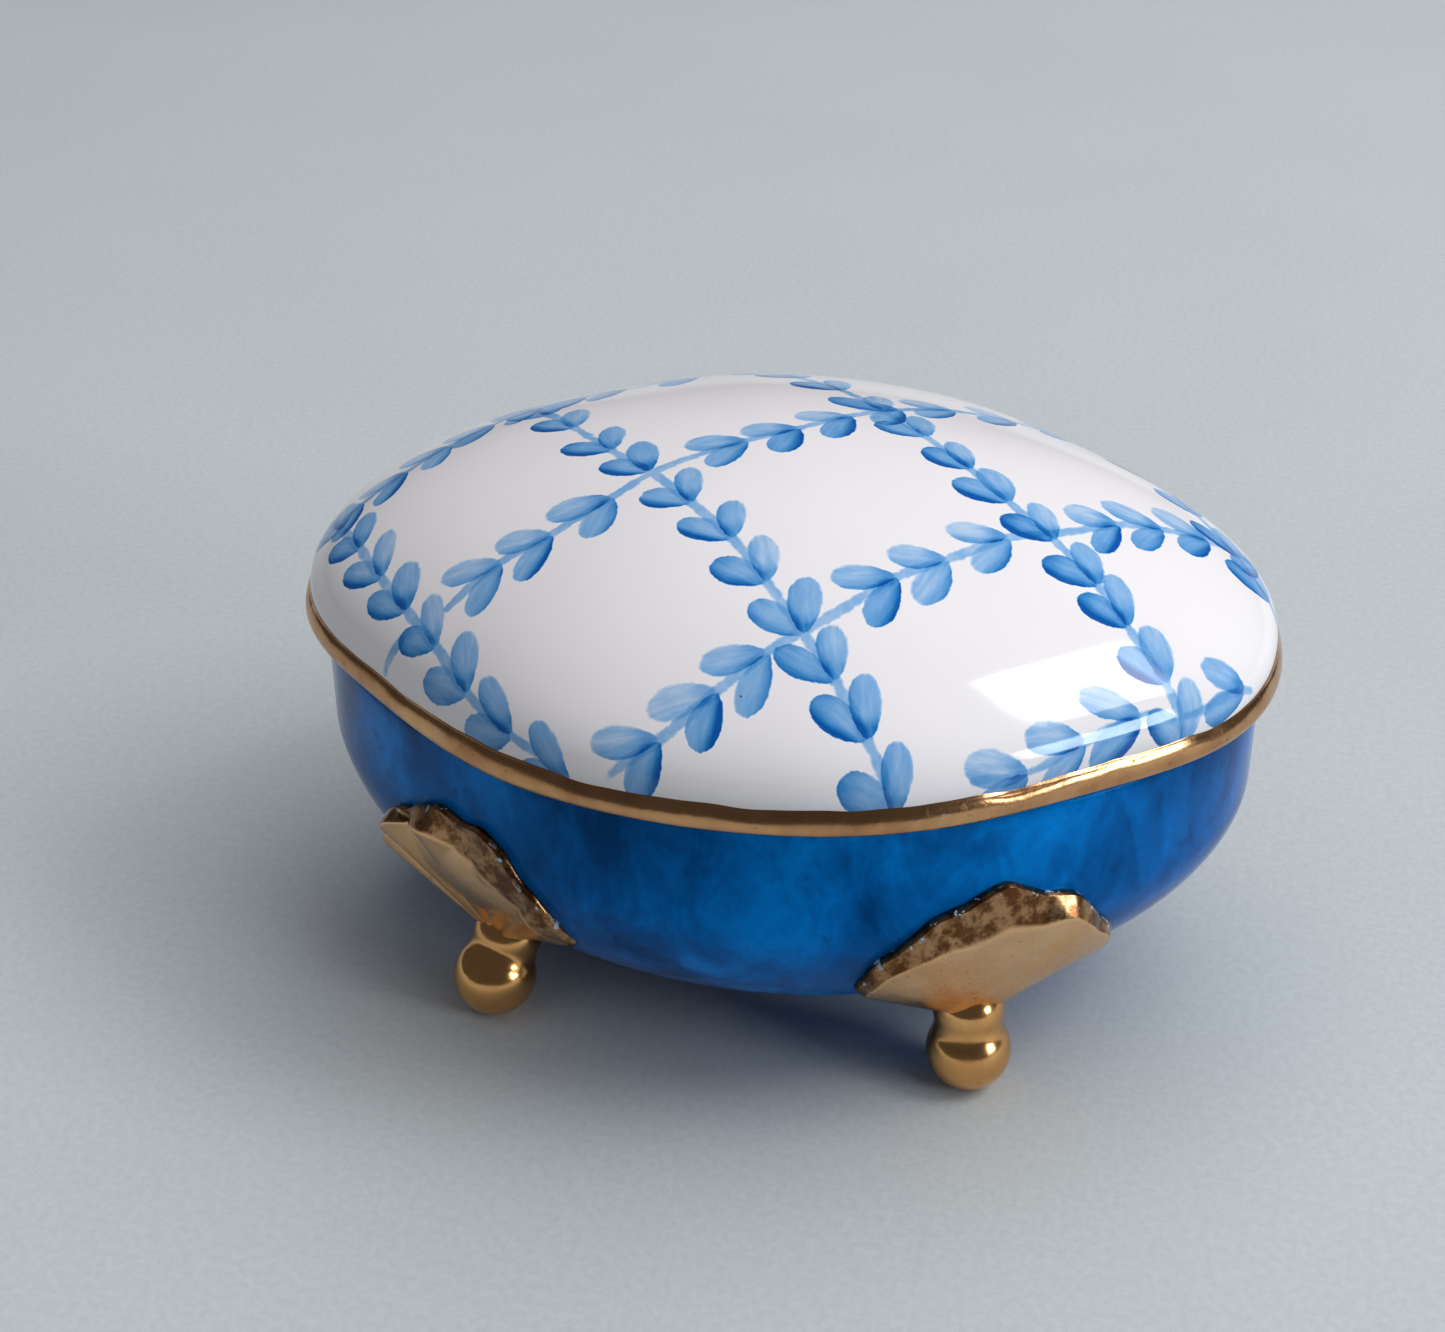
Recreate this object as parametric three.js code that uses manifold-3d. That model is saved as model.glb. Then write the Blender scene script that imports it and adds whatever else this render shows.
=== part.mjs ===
// Porcelain trinket box: an oval bowl on four gilt ball feet, with a domed lid that lifts off.
// Millimetres, +Z up. The origin is on the table under the middle of the bowl.
// +X runs along the length of the box, and -Y is its front.
import * as THREE from 'three';
import { mergeVertices } from 'three/addons/utils/BufferGeometryUtils.js';
import Module from 'manifold-3d';

const wasm = await Module();
wasm.setup();

// Plan of the lid and of the bowl. Both are ovals whose diagonals are drawn in a little, so that the
// two ends and the two long sides stand out as four soft lobes.
const lidLength = 102;
const lidWidth = 82.8;
const overhangEnd = 1.9; // the lid stands this far past the bowl at its ends
const overhangSide = 3; // and this far at the middle of its long sides
const lidLobes = { four: 0.027, eight: -0.007, fade: 0.3 };
const bowlLobes = { four: 0.01, eight: 0, fade: 0 };

// Heights
const rimHeight = 36.9; // underside of the lid's edge
const edgeHeight = 2.5; // the gilt edge of the lid
const domeRise = 18.8; // from the top of the gilt edge to the crown
const bowlUnderside = 5;
const flankHeight = 24.9; // above this the flank of the bowl stands upright

// Fullness of the two curved profiles. Higher numbers are squarer.
const domeFullness = { across: 1.8, up: 1.73 };
const bowlFullness = { across: 3.41, up: 1.72 };

// Walls and fits
const bowlWall = 3;
const bowlFloor = 3.2;
const domeWall = 2.8;
const flangeWall = 2.2;
const flangeDepth = 3.5; // how far the flange drops into the mouth of the bowl
const flangeClearance = 0.8; // all round, between the flange and the mouth
const joint = 0.3; // glaze or clay line between pieces that meet
const rimEasing = 0.8; // rounding of the bowl's rim and of the gilt lip

// Feet
const footAngle = THREE.MathUtils.degToRad(54.2); // where the bracket sits, as an angle of the oval
const footSetback = 6.25; // from the bowl's upright flank in to the middle of the ball
const footSplay = THREE.MathUtils.degToRad(10);
const ballDiameter = 8.62;
const neckDiameter = 7.2;
const creaseDiameter = 6.4; // the groove between the ball and its neck
const contactFlat = 0.16; // depth ground off the ball where it stands

// Shell brackets
const shellReach = 19.8; // from the neck up to the crown of the shell
const shellTipReach = 15.6; // from the neck to each of its two tips
const shellSpread = THREE.MathUtils.degToRad(62); // from the crown to a tip, seen from the neck
const shellShift = 1.5; // the crown leans towards the middle of the long side
const shellProud = { crown: 3.6, tip: 1.8 }; // how far it stands out of the flank
const shellEdge = 0.9; // thickness left at its scalloped edge
const shellShoulder = 0.25; // share of its height that rounds over to the edge
const shellStart = 0.16; // share of its height that is inside the neck
const shellBelly = 0.75; // below 1 its front swells between the neck and the crown
const shellFlutes = 5;
const scallopDepth = 0.6;
const fluteDepth = 0.5;

// How finely the round forms are divided
const turnSteps = 56;
const profileSteps = 10;
const footSteps = 16;

const ballRadius = ballDiameter / 2;
const neckRadius = neckDiameter / 2;
const creaseRadius = creaseDiameter / 2;
const edgeTop = rimHeight + edgeHeight;
const bowlTop = rimHeight - joint;

function ovalPlan(length, width, lobes) {
  return { halfLength: length / 2, halfWidth: width / 2, lobes };
}

// The same plan with its edge moved in by a distance.
function insetPlan(plan, inset) {
  return { ...plan, halfLength: plan.halfLength - inset, halfWidth: plan.halfWidth - inset };
}

const lidPlan = ovalPlan(lidLength, lidWidth, lidLobes);
const bowlPlan = ovalPlan(lidLength - 2 * overhangEnd, lidWidth - 2 * overhangSide, bowlLobes);
const mouthPlan = insetPlan(bowlPlan, bowlWall);
const flangePlan = insetPlan(mouthPlan, flangeClearance);
const lidHollowPlan = insetPlan(flangePlan, flangeWall);

function lobing(lobes, angle, share) {
  const strength = share ** lobes.fade;
  const wave = (a) => 1 + strength * (lobes.four * Math.cos(4 * a) + lobes.eight * Math.cos(8 * a));
  return wave(angle) / wave(0);
}

// A point of the plan at an angle and at a share of the way from the middle to the edge.
function planPoint(plan, angle, share) {
  const reach = share * lobing(plan.lobes, angle, share);
  return new THREE.Vector2(
    plan.halfLength * Math.cos(angle) * reach,
    plan.halfWidth * Math.sin(angle) * reach,
  );
}

// A closed solid from a three.js geometry: equal points are merged and empty faces dropped.
function solidOf(geometry) {
  const bare = new THREE.BufferGeometry().setAttribute('position', geometry.attributes.position);
  bare.setIndex(geometry.index);
  const merged = mergeVertices(bare, 1e-4);
  const faces = [];
  for (let i = 0; i < merged.index.count; i += 3) {
    const [a, b, c] = merged.index.array.subarray(i, i + 3);
    if (a !== b && b !== c && c !== a) faces.push(a, b, c);
  }
  return new wasm.Manifold(new wasm.Mesh({
    numProp: 3,
    vertProperties: merged.attributes.position.array,
    triVerts: new Uint32Array(faces),
  }));
}

function meshOf(name, solid, material) {
  const made = solid.getMesh();
  const geometry = new THREE.BufferGeometry();
  geometry.setAttribute('position', new THREE.BufferAttribute(made.vertProperties, 3));
  geometry.setIndex(new THREE.BufferAttribute(made.triVerts, 1));
  geometry.computeVertexNormals();
  const mesh = new THREE.Mesh(geometry, material);
  mesh.name = name;
  return mesh;
}

// Turns a profile of [share of the plan, height] points and draws it out to the lobed oval.
function ovalForm(plan, profile) {
  const points = profile.map(([share, height]) => new THREE.Vector2(share, height));
  const geometry = new THREE.LatheGeometry(points, turnSteps).rotateX(Math.PI / 2);
  const at = geometry.attributes.position;
  for (let i = 0; i < at.count; i++) {
    const angle = Math.atan2(at.getY(i), at.getX(i));
    const spot = planPoint(plan, angle, Math.hypot(at.getX(i), at.getY(i)));
    at.setXY(i, spot.x, spot.y);
  }
  return solidOf(geometry);
}

// Share of the plan that the bowl fills at a height, between its underside and its upright flank.
function bowlShare(height, underside) {
  const drop = THREE.MathUtils.clamp((flankHeight - height) / (flankHeight - underside), 0, 1);
  return (1 - drop ** bowlFullness.up) ** (1 / bowlFullness.across);
}

function bowlProfile(underside, top) {
  const profile = [[0, underside]];
  for (let i = 1; i <= profileSteps; i++) {
    const turn = (i / profileSteps) * (Math.PI / 2);
    const height = underside + (flankHeight - underside) * (1 - Math.cos(turn));
    if (i === 1) profile.push([bowlShare(height, underside) * 0.9, underside]);
    profile.push([bowlShare(height, underside), height]);
  }
  return [...profile, [1, top]];
}

// The bowl as if it were solid, grown by a distance all over.
function bowlOutside(grow) {
  const easing = rimEasing / bowlPlan.halfLength;
  const profile = bowlProfile(bowlUnderside - grow, bowlTop - rimEasing);
  return ovalForm(insetPlan(bowlPlan, -grow), [...profile, [1 - easing, bowlTop], [0, bowlTop]]);
}

function bowl() {
  const hollowTop = bowlTop + rimEasing;
  const profile = bowlProfile(bowlUnderside + bowlFloor, hollowTop);
  return bowlOutside(0).subtract(ovalForm(mouthPlan, [...profile, [0, hollowTop]]));
}

// A domed profile that rises from a height at the edge of a plan.
function domeProfile(base, rise) {
  const profile = [[0, base], [1, base]];
  for (let i = profileSteps - 1; i > 0; i--) {
    const share = Math.sin((i / profileSteps) * (Math.PI / 2));
    profile.push([share, base + rise * (1 - share ** domeFullness.across) ** (1 / domeFullness.up)]);
  }
  return [...profile, [0, base + rise]];
}

function straightForm(plan, bottom, top) {
  return ovalForm(plan, [[0, bottom], [1, bottom], [1, top], [0, top]]);
}

function dome() {
  const hollow = ovalForm(lidHollowPlan, domeProfile(edgeTop, domeRise - domeWall));
  const mouth = straightForm(lidHollowPlan, edgeTop - 1, edgeTop);
  return ovalForm(lidPlan, domeProfile(edgeTop, domeRise)).subtract(hollow.add(mouth));
}

function giltEdge() {
  const top = edgeTop - joint;
  const easing = rimEasing / lidPlan.halfLength;
  const lip = ovalForm(lidPlan, [
    [0, rimHeight],
    [1 - easing, rimHeight],
    [1 - easing * 0.25, rimHeight + rimEasing * 0.4],
    [1, (rimHeight + top) / 2],
    [1 - easing * 0.15, top],
    [0, top],
  ]);
  return lip.subtract(straightForm(insetPlan(flangePlan, -joint), rimHeight - 1, top + 1));
}

function flange() {
  const bottom = rimHeight - flangeDepth;
  const top = edgeTop - joint;
  const ring = straightForm(flangePlan, bottom, top);
  return ring.subtract(straightForm(lidHollowPlan, bottom - 1, top + 1));
}

// Frame of the foot in the +X +Y quarter. The other three feet are its mirror images.
const flankPoint = planPoint(bowlPlan, footAngle, 1);
const nearby = planPoint(bowlPlan, footAngle + 1e-3, 1).sub(flankPoint).normalize();
const outward = new THREE.Vector2(nearby.y, -nearby.x);
const footPlace = flankPoint.clone().addScaledVector(outward, -footSetback);
const ballHeight = ballRadius - contactFlat;
const neckHeight = Math.sqrt(ballRadius ** 2 - creaseRadius ** 2)
  + Math.sqrt(neckRadius ** 2 - creaseRadius ** 2);
const shellRoot = ballHeight + neckHeight - 0.2;

// A plan point from its distance along the flank, towards the middle of the long side, and out of it.
function beside(along, out) {
  return footPlace.clone().addScaledVector(outward, out).addScaledVector(nearby, along);
}

// How far out of the foot's axis the flank of the bowl lies.
function flankOut(along, height) {
  const filled = bowlShare(height, bowlUnderside);
  let inner = -bowlPlan.halfWidth;
  let outer = bowlPlan.halfWidth;
  for (let i = 0; i < 30; i++) {
    const middle = (inner + outer) / 2;
    const spot = beside(along, middle);
    const angle = Math.atan2(spot.y / bowlPlan.halfWidth, spot.x / bowlPlan.halfLength);
    const inside = spot.length() < planPoint(bowlPlan, angle, filled).length();
    if (inside) inner = middle;
    else outer = middle;
  }
  return inner;
}

// The front of the shell. across runs from -1 to 1 between its tips and up from 0 at the neck to 1.
function shellFront(across, up) {
  const swing = across * shellSpread;
  const crest = Math.abs(Math.cos((shellFlutes * Math.PI * across) / 2));
  const edge = shellReach + (shellTipReach - shellReach) * across ** 2 - scallopDepth * (1 - crest);
  const place = (share) => ({
    along: shellShift * share + edge * share * Math.sin(swing),
    height: shellRoot + edge * share * Math.cos(swing),
  });
  const rim = place(1);
  const proud = THREE.MathUtils.lerp(shellProud.crown, shellProud.tip, Math.abs(across));
  const rimOut = flankOut(rim.along, rim.height) + proud;
  const past = Math.max(0, up - 1 + shellShoulder) / shellShoulder;
  const shoulder = (proud - shellEdge) * (1 - Math.sqrt(1 - past ** 2));
  const flute = fluteDepth * (1 - crest) * up * (1 - past);
  const { along, height } = place(up);
  const swell = THREE.MathUtils.lerp(neckRadius * 0.7, rimOut, up ** shellBelly);
  return { along, height, out: swell - shoulder - flute };
}

function shellBracket() {
  const geometry = new THREE.BoxGeometry(1, 1, 1, 20, 9, 1);
  const at = geometry.attributes.position;
  const behind = -bowlPlan.halfWidth / 2; // well inside the bowl, which is cut away below
  for (let i = 0; i < at.count; i++) {
    const up = THREE.MathUtils.lerp(shellStart, 1, at.getY(i) + 0.5);
    const front = shellFront(2 * at.getX(i), up);
    const spot = beside(front.along, at.getZ(i) > 0 ? front.out : behind);
    at.setXYZ(i, spot.x, spot.y, front.height);
  }
  return solidOf(geometry).subtract(bowlOutside(joint)).subtract(footForm(joint));
}

// The ball with its neck, grown by a distance, leaning in at the top.
function footForm(grow) {
  const crease = Math.asin(creaseRadius / ballRadius);
  const neckStart = Math.asin(creaseRadius / neckRadius);
  const points = [];
  const arc = (radius, height, from, to, steps) => {
    for (let i = 0; i <= steps; i++) {
      const turn = from + ((to - from) * i) / steps;
      const r = (radius + grow) * Math.sin(turn);
      points.push(new THREE.Vector2(Math.max(0, r), height - (radius + grow) * Math.cos(turn)));
    }
  };
  arc(ballRadius, 0, 0, Math.PI - crease, profileSteps);
  arc(neckRadius, neckHeight, neckStart, Math.PI, profileSteps / 2);
  const lean = new THREE.Vector3(-nearby.x, -nearby.y, 0);
  const geometry = new THREE.LatheGeometry(points, footSteps).rotateX(Math.PI / 2);
  geometry.applyMatrix4(new THREE.Matrix4().makeRotationAxis(lean, footSplay));
  geometry.translate(footPlace.x, footPlace.y, ballHeight);
  return solidOf(geometry);
}

function ballFoot() {
  const table = new THREE.BoxGeometry(4 * ballRadius, 4 * ballRadius, 2 * ballRadius);
  table.translate(footPlace.x, footPlace.y, -ballRadius);
  return footForm(0).subtract(solidOf(table)).subtract(bowlOutside(joint));
}

const blueGlaze = new THREE.MeshStandardMaterial({ color: 0x0d5fb0, roughness: 0.15, metalness: 0 });
const whiteGlaze = new THREE.MeshStandardMaterial({ color: 0xeae6e8, roughness: 0.12, metalness: 0 });
const burnishedGold = new THREE.MeshStandardMaterial({ color: 0xc8923a, roughness: 0.25, metalness: 1 });

const box = new THREE.Group();
box.add(meshOf('body_bowl', bowl(), blueGlaze));
box.add(meshOf('lid_dome', dome(), whiteGlaze));
box.add(meshOf('lid_gilt_edge', giltEdge(), burnishedGold));
box.add(meshOf('lid_locating_flange', flange(), whiteGlaze));

const bracket = shellBracket();
const foot = ballFoot();
for (const [depth, backOrFront] of [['front', -1], ['back', 1]]) {
  for (const [side, leftOrRight] of [['left', -1], ['right', 1]]) {
    const corner = new THREE.Group();
    corner.scale.set(leftOrRight, backOrFront, 1);
    corner.add(meshOf(`shell_bracket_${depth}_${side}`, bracket, burnishedGold));
    corner.add(meshOf(`ball_foot_${depth}_${side}`, foot, burnishedGold));
    box.add(corner);
  }
}

export default box;
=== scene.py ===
import math
import random

import bpy
import numpy as np
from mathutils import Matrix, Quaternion, Vector


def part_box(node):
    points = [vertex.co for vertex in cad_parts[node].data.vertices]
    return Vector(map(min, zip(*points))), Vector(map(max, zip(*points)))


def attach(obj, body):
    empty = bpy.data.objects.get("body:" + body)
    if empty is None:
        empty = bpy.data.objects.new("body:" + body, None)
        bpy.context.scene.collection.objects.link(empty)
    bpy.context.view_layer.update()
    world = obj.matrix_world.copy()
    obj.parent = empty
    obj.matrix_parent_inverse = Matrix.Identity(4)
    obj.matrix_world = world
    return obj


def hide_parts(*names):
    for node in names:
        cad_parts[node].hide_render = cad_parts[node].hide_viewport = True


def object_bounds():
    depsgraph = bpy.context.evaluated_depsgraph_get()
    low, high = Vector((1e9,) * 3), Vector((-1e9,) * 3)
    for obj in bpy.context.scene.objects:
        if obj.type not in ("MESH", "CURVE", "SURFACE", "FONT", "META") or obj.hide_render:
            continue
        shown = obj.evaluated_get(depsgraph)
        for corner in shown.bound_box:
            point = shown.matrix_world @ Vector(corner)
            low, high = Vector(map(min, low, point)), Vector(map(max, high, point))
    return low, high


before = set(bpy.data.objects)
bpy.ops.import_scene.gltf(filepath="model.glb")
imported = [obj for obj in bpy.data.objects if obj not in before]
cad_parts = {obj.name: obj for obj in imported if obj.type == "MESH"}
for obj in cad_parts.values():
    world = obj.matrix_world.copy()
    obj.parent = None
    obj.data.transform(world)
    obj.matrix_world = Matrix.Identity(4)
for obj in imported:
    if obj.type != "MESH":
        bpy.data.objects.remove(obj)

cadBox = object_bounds()
mm = 0.001
anyPhase = 6.3  # a little over a full turn, for waves that start anywhere
print("frame loaded")

# sizes shared by the pieces that meet, read from the frame where it says them
lidLow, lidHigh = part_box("lid_dome")
bandLow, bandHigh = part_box("lid_gilt_edge")
bowlLow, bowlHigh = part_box("body_bowl")
flangeLow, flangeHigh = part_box("lid_locating_flange")
lobedLid = {"length": lidHigh.x, "width": lidHigh.y, "four": 0.027, "eight": -0.007, "fade": 0.3}
lobedBowl = {"length": bowlHigh.x, "width": bowlHigh.y, "four": 0.01, "eight": 0.0, "fade": 0.0}
bowlWall = 3.0 * mm
flangeWall = 2.2 * mm
flankHeight = 24.9 * mm  # the bowl's side stands upright above this


def inset(plan, distance):
    return {**plan, "length": plan["length"] - distance, "width": plan["width"] - distance}


flangePlan = {**lobedBowl, "length": flangeHigh.x, "width": flangeHigh.y}
mouthPlan = inset(lobedBowl, bowlWall)
hollowPlan = inset(flangePlan, flangeWall)


def lobing(plan, angle, share):
    strength = np.maximum(share, 1e-9) ** plan["fade"]
    wave = 1 + strength * (plan["four"] * np.cos(4 * angle) + plan["eight"] * np.cos(8 * angle))
    return wave / (1 + strength * (plan["four"] + plan["eight"]))


def planSpots(plan, angle, share):
    reach = share * lobing(plan, angle, share)
    return np.stack([plan["length"] * np.cos(angle) * reach, plan["width"] * np.sin(angle) * reach], -1)


def evenShares(curve, count, radius):
    # shares from 0 to 1 that cut the curve into equal lengths
    fine = np.sin(np.linspace(0, math.pi / 2, 4000))
    height = curve(fine)
    walked = np.concatenate([[0], np.cumsum(np.hypot(np.diff(fine) * radius, np.diff(height)))])
    return np.interp(np.linspace(0, walked[-1], count), walked, fine)


def startClean():
    if bpy.context.object and bpy.context.object.mode != "OBJECT":
        bpy.ops.object.mode_set(mode="OBJECT")
    bpy.ops.object.select_all(action="DESELECT")


def readSpots(piece):
    spots = np.empty(len(piece.data.vertices) * 3)
    piece.data.vertices.foreach_get("co", spots)
    return spots.reshape(-1, 3)


def moveSpots(piece, spots):
    piece.data.vertices.foreach_set("co", np.ascontiguousarray(spots, float).ravel())
    piece.data.update()


def faceOutwards(piece):
    startClean()
    piece.select_set(True)
    bpy.context.view_layer.objects.active = piece
    bpy.ops.object.mode_set(mode="EDIT")
    bpy.ops.mesh.select_all(action="SELECT")
    bpy.ops.mesh.normals_make_consistent(inside=False)
    bpy.ops.object.mode_set(mode="OBJECT")
    bpy.ops.object.shade_smooth()


ladderLook = {
    "reach": 0.1,  # how far out a share of 1 stands while it is a ladder
    "rung": mm,
    "weld": 5e-7,
    "zigzag": 0.01,  # keeps the rungs of a straight wall apart
}


def turnedLadder(name, shares, steps, closed=False):
    # a profile drawn point by point and spun; its rungs lie evenly above each other until they are placed
    reach, rung = ladderLook["reach"], ladderLook["rung"]
    startClean()
    bpy.ops.mesh.primitive_plane_add(size=mm)
    piece = bpy.context.object
    piece.name = name
    piece.data.name = name
    bpy.ops.object.mode_set(mode="EDIT")
    bpy.ops.mesh.select_all(action="SELECT")
    bpy.ops.mesh.merge(type="CENTER")
    bpy.ops.transform.translate(value=(shares[0] * reach, 0, 0))
    for low, high in zip(shares, shares[1:]):
        step = ((high - low) * reach, 0, rung)
        bpy.ops.mesh.extrude_region_move(TRANSFORM_OT_translate={"value": step})
    bpy.ops.mesh.select_all(action="SELECT")
    bpy.ops.mesh.spin(steps=steps, angle=2 * math.pi, center=(0, 0, 0), axis=(0, 0, 1))
    bpy.ops.mesh.select_all(action="SELECT")
    bpy.ops.mesh.remove_doubles(threshold=ladderLook["weld"])
    if closed:  # the last rung goes back to the first
        bpy.ops.mesh.select_all(action="DESELECT")
        bpy.ops.mesh.select_mode(type="EDGE")
        bpy.ops.mesh.select_non_manifold(extend=False, use_wire=False, use_multi_face=False)
        bpy.ops.mesh.bridge_edge_loops()
        bpy.ops.mesh.select_mode(type="VERT")
    bpy.ops.object.mode_set(mode="OBJECT")
    spots = readSpots(piece)
    row = np.rint(spots[:, 2] / rung).astype(int)
    return piece, row, np.arctan2(spots[:, 1], spots[:, 0])


def wallShares(count):
    return [1.0 + ladderLook["zigzag"] * (number % 2) for number in range(count)]


def placeRows(rows, row, angle):
    # rows are (plan, share, height), one for each rung of the ladder
    spots = np.zeros((len(row), 3))
    for number, (plan, share, height) in enumerate(rows):
        mine = row == number
        spots[mine, :2] = planSpots(plan, angle[mine], np.full(mine.sum(), share))
        spots[mine, 2] = height
    return spots


def handWaves(spots, seed, height, reach):
    # slow waves, as clay gets from being shaped and fired
    drawn = random.Random(seed)
    total = np.zeros(len(spots))
    for _ in range(5):
        along = np.array([drawn.uniform(-1, 1) for _ in range(3)])
        along *= 2 * math.pi / (reach * drawn.uniform(0.7, 1.5)) / np.linalg.norm(along)
        total += np.sin(spots @ along + drawn.uniform(0, anyPhase))
    return total * height / 2.2


def setAttribute(piece, name, values):
    values = np.asarray(values, np.float32)
    kind = "FLOAT" if values.ndim == 1 else "FLOAT_VECTOR"
    made = piece.data.attributes.new(name, kind, "POINT")
    made.data.foreach_set("value" if values.ndim == 1 else "vector", values.ravel())


# material helpers
def addNode(tree, kind, inputs, **settings):
    made = tree.nodes.new(kind)
    for name, value in settings.items():
        setattr(made, name, value)
    for socket, value in inputs.items():
        if isinstance(value, bpy.types.NodeSocket):
            tree.links.new(value, made.inputs[socket])
        else:
            made.inputs[socket].default_value = value
    return made


def startMaterial(name, **fixed):
    material = bpy.data.materials.new(name)
    material.use_nodes = True
    tree = material.node_tree
    shader = tree.nodes["Principled BSDF"]
    for socket, value in fixed.items():
        shader.inputs[socket.replace("_", " ")].default_value = value
    where = tree.nodes.new("ShaderNodeTexCoord").outputs["Object"]
    return material, tree, shader, where


def noiseField(tree, where, size, detail=3.0, roughness=0.5, distortion=0.0):
    # size is the width of its patches in metres
    inputs = {"Vector": where, "Scale": 1 / size, "Detail": detail}
    inputs |= {"Roughness": roughness, "Distortion": distortion}
    return addNode(tree, "ShaderNodeTexNoise", inputs).outputs["Fac"]


def stretched(tree, where, scale):
    return addNode(tree, "ShaderNodeMapping", {"Vector": where, "Scale": scale}).outputs["Vector"]


def sum2(tree, how, first, second):
    return addNode(tree, "ShaderNodeMath", {0: first, 1: second}, operation=how).outputs[0]


def between(tree, value, low, high, outLow=0.0, outHigh=1.0, soft=True):
    inputs = {"Value": value, "From Min": low, "From Max": high, "To Min": outLow, "To Max": outHigh}
    kind = "SMOOTHSTEP" if soft else "LINEAR"
    return addNode(tree, "ShaderNodeMapRange", inputs, interpolation_type=kind).outputs["Result"]


def spread(tree, field, outLow=0.0, outHigh=1.0):
    # nearly all of a noise field lies in this range
    return between(tree, field, 0.3, 0.7, outLow, outHigh)


def blendColours(tree, factor, first, second):
    made = addNode(tree, "ShaderNodeMix", {"Factor": factor}, data_type="RGBA")
    for socket, value in ((made.inputs[6], first), (made.inputs[7], second)):
        if isinstance(value, bpy.types.NodeSocket):
            tree.links.new(value, socket)
        else:
            socket.default_value = (*value, 1)
    return made.outputs[2]


def colourRamp(tree, factor, stops):
    made = addNode(tree, "ShaderNodeValToRGB", {"Fac": factor})
    ramp = made.color_ramp
    while len(ramp.elements) < len(stops):
        ramp.elements.new(0.5)
    for element, (place, colour) in zip(ramp.elements, stops):
        element.position = place
        element.color = (*colour, 1)
    return made.outputs["Color"]


def specks(tree, where, spacing, width, share):
    # small round spots, one in each of a share of the cells
    inputs = {"Vector": where, "Scale": 1 / spacing}
    cells = addNode(tree, "ShaderNodeTexVoronoi", inputs)
    near = between(tree, cells.outputs["Distance"], width * 0.55, width, 1.0, 0.0)
    chosen = addNode(tree, "ShaderNodeSeparateColor", {"Color": cells.outputs["Color"]}).outputs["Red"]
    return sum2(tree, "MULTIPLY", near, sum2(tree, "LESS_THAN", chosen, share))


def bumped(tree, shader, layers):
    # layers are (height from 0 to 1, depth in metres), the first one lowest
    normal = None
    for height, depth in layers:
        inputs = {"Height": height, "Strength": 1.0, "Distance": depth}
        if normal:
            inputs["Normal"] = normal
        normal = addNode(tree, "ShaderNodeBump", inputs).outputs["Normal"]
    tree.links.new(normal, shader.inputs["Normal"])


def dress(piece, body, slot, material, *nodes):
    piece.data.materials.clear()
    piece.data.materials.append(material)
    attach(piece, body)
    if nodes:
        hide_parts(*nodes)
    faces = sum(len(f.vertices) - 2 for f in piece.data.polygons)
    print(piece.name, "has", faces, "triangles")


# camera
cameraLook = {
    "turn": 13.92,  # degrees that it stands round to the right of the front
    "down": 30.17,  # degrees that it looks down
    "distance": 2.5461,  # lengths of the box
    "aim": (-0.0727, 0.0357, -0.0189),  # from the middle, as shares of the box's size
    "lens": 59.8,
}


def makeCamera():
    low, high = cadBox
    size = high - low
    aim = (low + high) / 2 + Vector(a * s for a, s in zip(cameraLook["aim"], size))
    turn = math.radians(cameraLook["turn"])
    down = math.radians(cameraLook["down"])
    back = Vector((math.sin(turn) * math.cos(down), -math.cos(turn) * math.cos(down), math.sin(down)))
    bpy.ops.object.camera_add(location=aim + back * cameraLook["distance"] * size.x)
    camera = bpy.context.object
    camera.rotation_euler = (math.pi / 2 - down, 0, turn)
    camera.data.lens = cameraLook["lens"]
    camera.data.clip_start = 0.01
    bpy.context.scene.camera = camera


startClean()
makeCamera()

# the room: a paper floor, a window on the right, softer lights above and a dim room round it
room = {
    # azimuth from +X towards +Y and height above the table in degrees, distance, size, roll in degrees,
    # power, colour, whether it shows in reflections
    "window": (3, 46, 1.3, (0.62, 0.39), 57, 5.0, (1.0, 0.985, 0.965), True),
    "lowerPane": (-16, 14, 1.3, (0.40, 0.30), 0, 5.0, (0.85, 0.93, 1.0), True),
    "softbox": (-16, 46, 1.35, (1.0, 1.0), 0, 3.6, (0.98, 0.985, 1.0), False),
    "ceiling": (60, 70, 1.3, (1.4, 1.4), 0, 12.4, (0.98, 0.985, 1.0), False),
    "leftFill": (-140, 62, 1.6, (1.2, 1.2), 0, 2.4, (0.98, 0.985, 1.0), False),
    "aim": (0, 0, 0.03),
    "roomLight": (0.08, 0.08, 0.085),
    "floor": 6,
    "paper": (0.50, 0.535, 0.55),
    "grain": 0.9 * mm,
    "cloud": 60 * mm,
}


def aimedLight(name, middle):
    azimuth, height, distance, size, roll, power, colour, reflected = room[name]
    azimuth = math.radians(azimuth)
    height = math.radians(height)
    flat = math.cos(height)
    towards = Vector((math.cos(azimuth) * flat, math.sin(azimuth) * flat, math.sin(height)))
    bpy.ops.object.light_add(type="AREA", location=middle + towards * distance)
    light = bpy.context.object
    light.name = name
    rolled = Quaternion((0, 0, 1), math.radians(roll))
    light.rotation_euler = (towards.to_track_quat("Z", "Y") @ rolled).to_euler()
    light.data.shape = "RECTANGLE"
    light.data.size, light.data.size_y = size
    light.data.energy = power
    light.data.color = colour
    light.visible_camera = False
    light.visible_glossy = reflected


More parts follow.
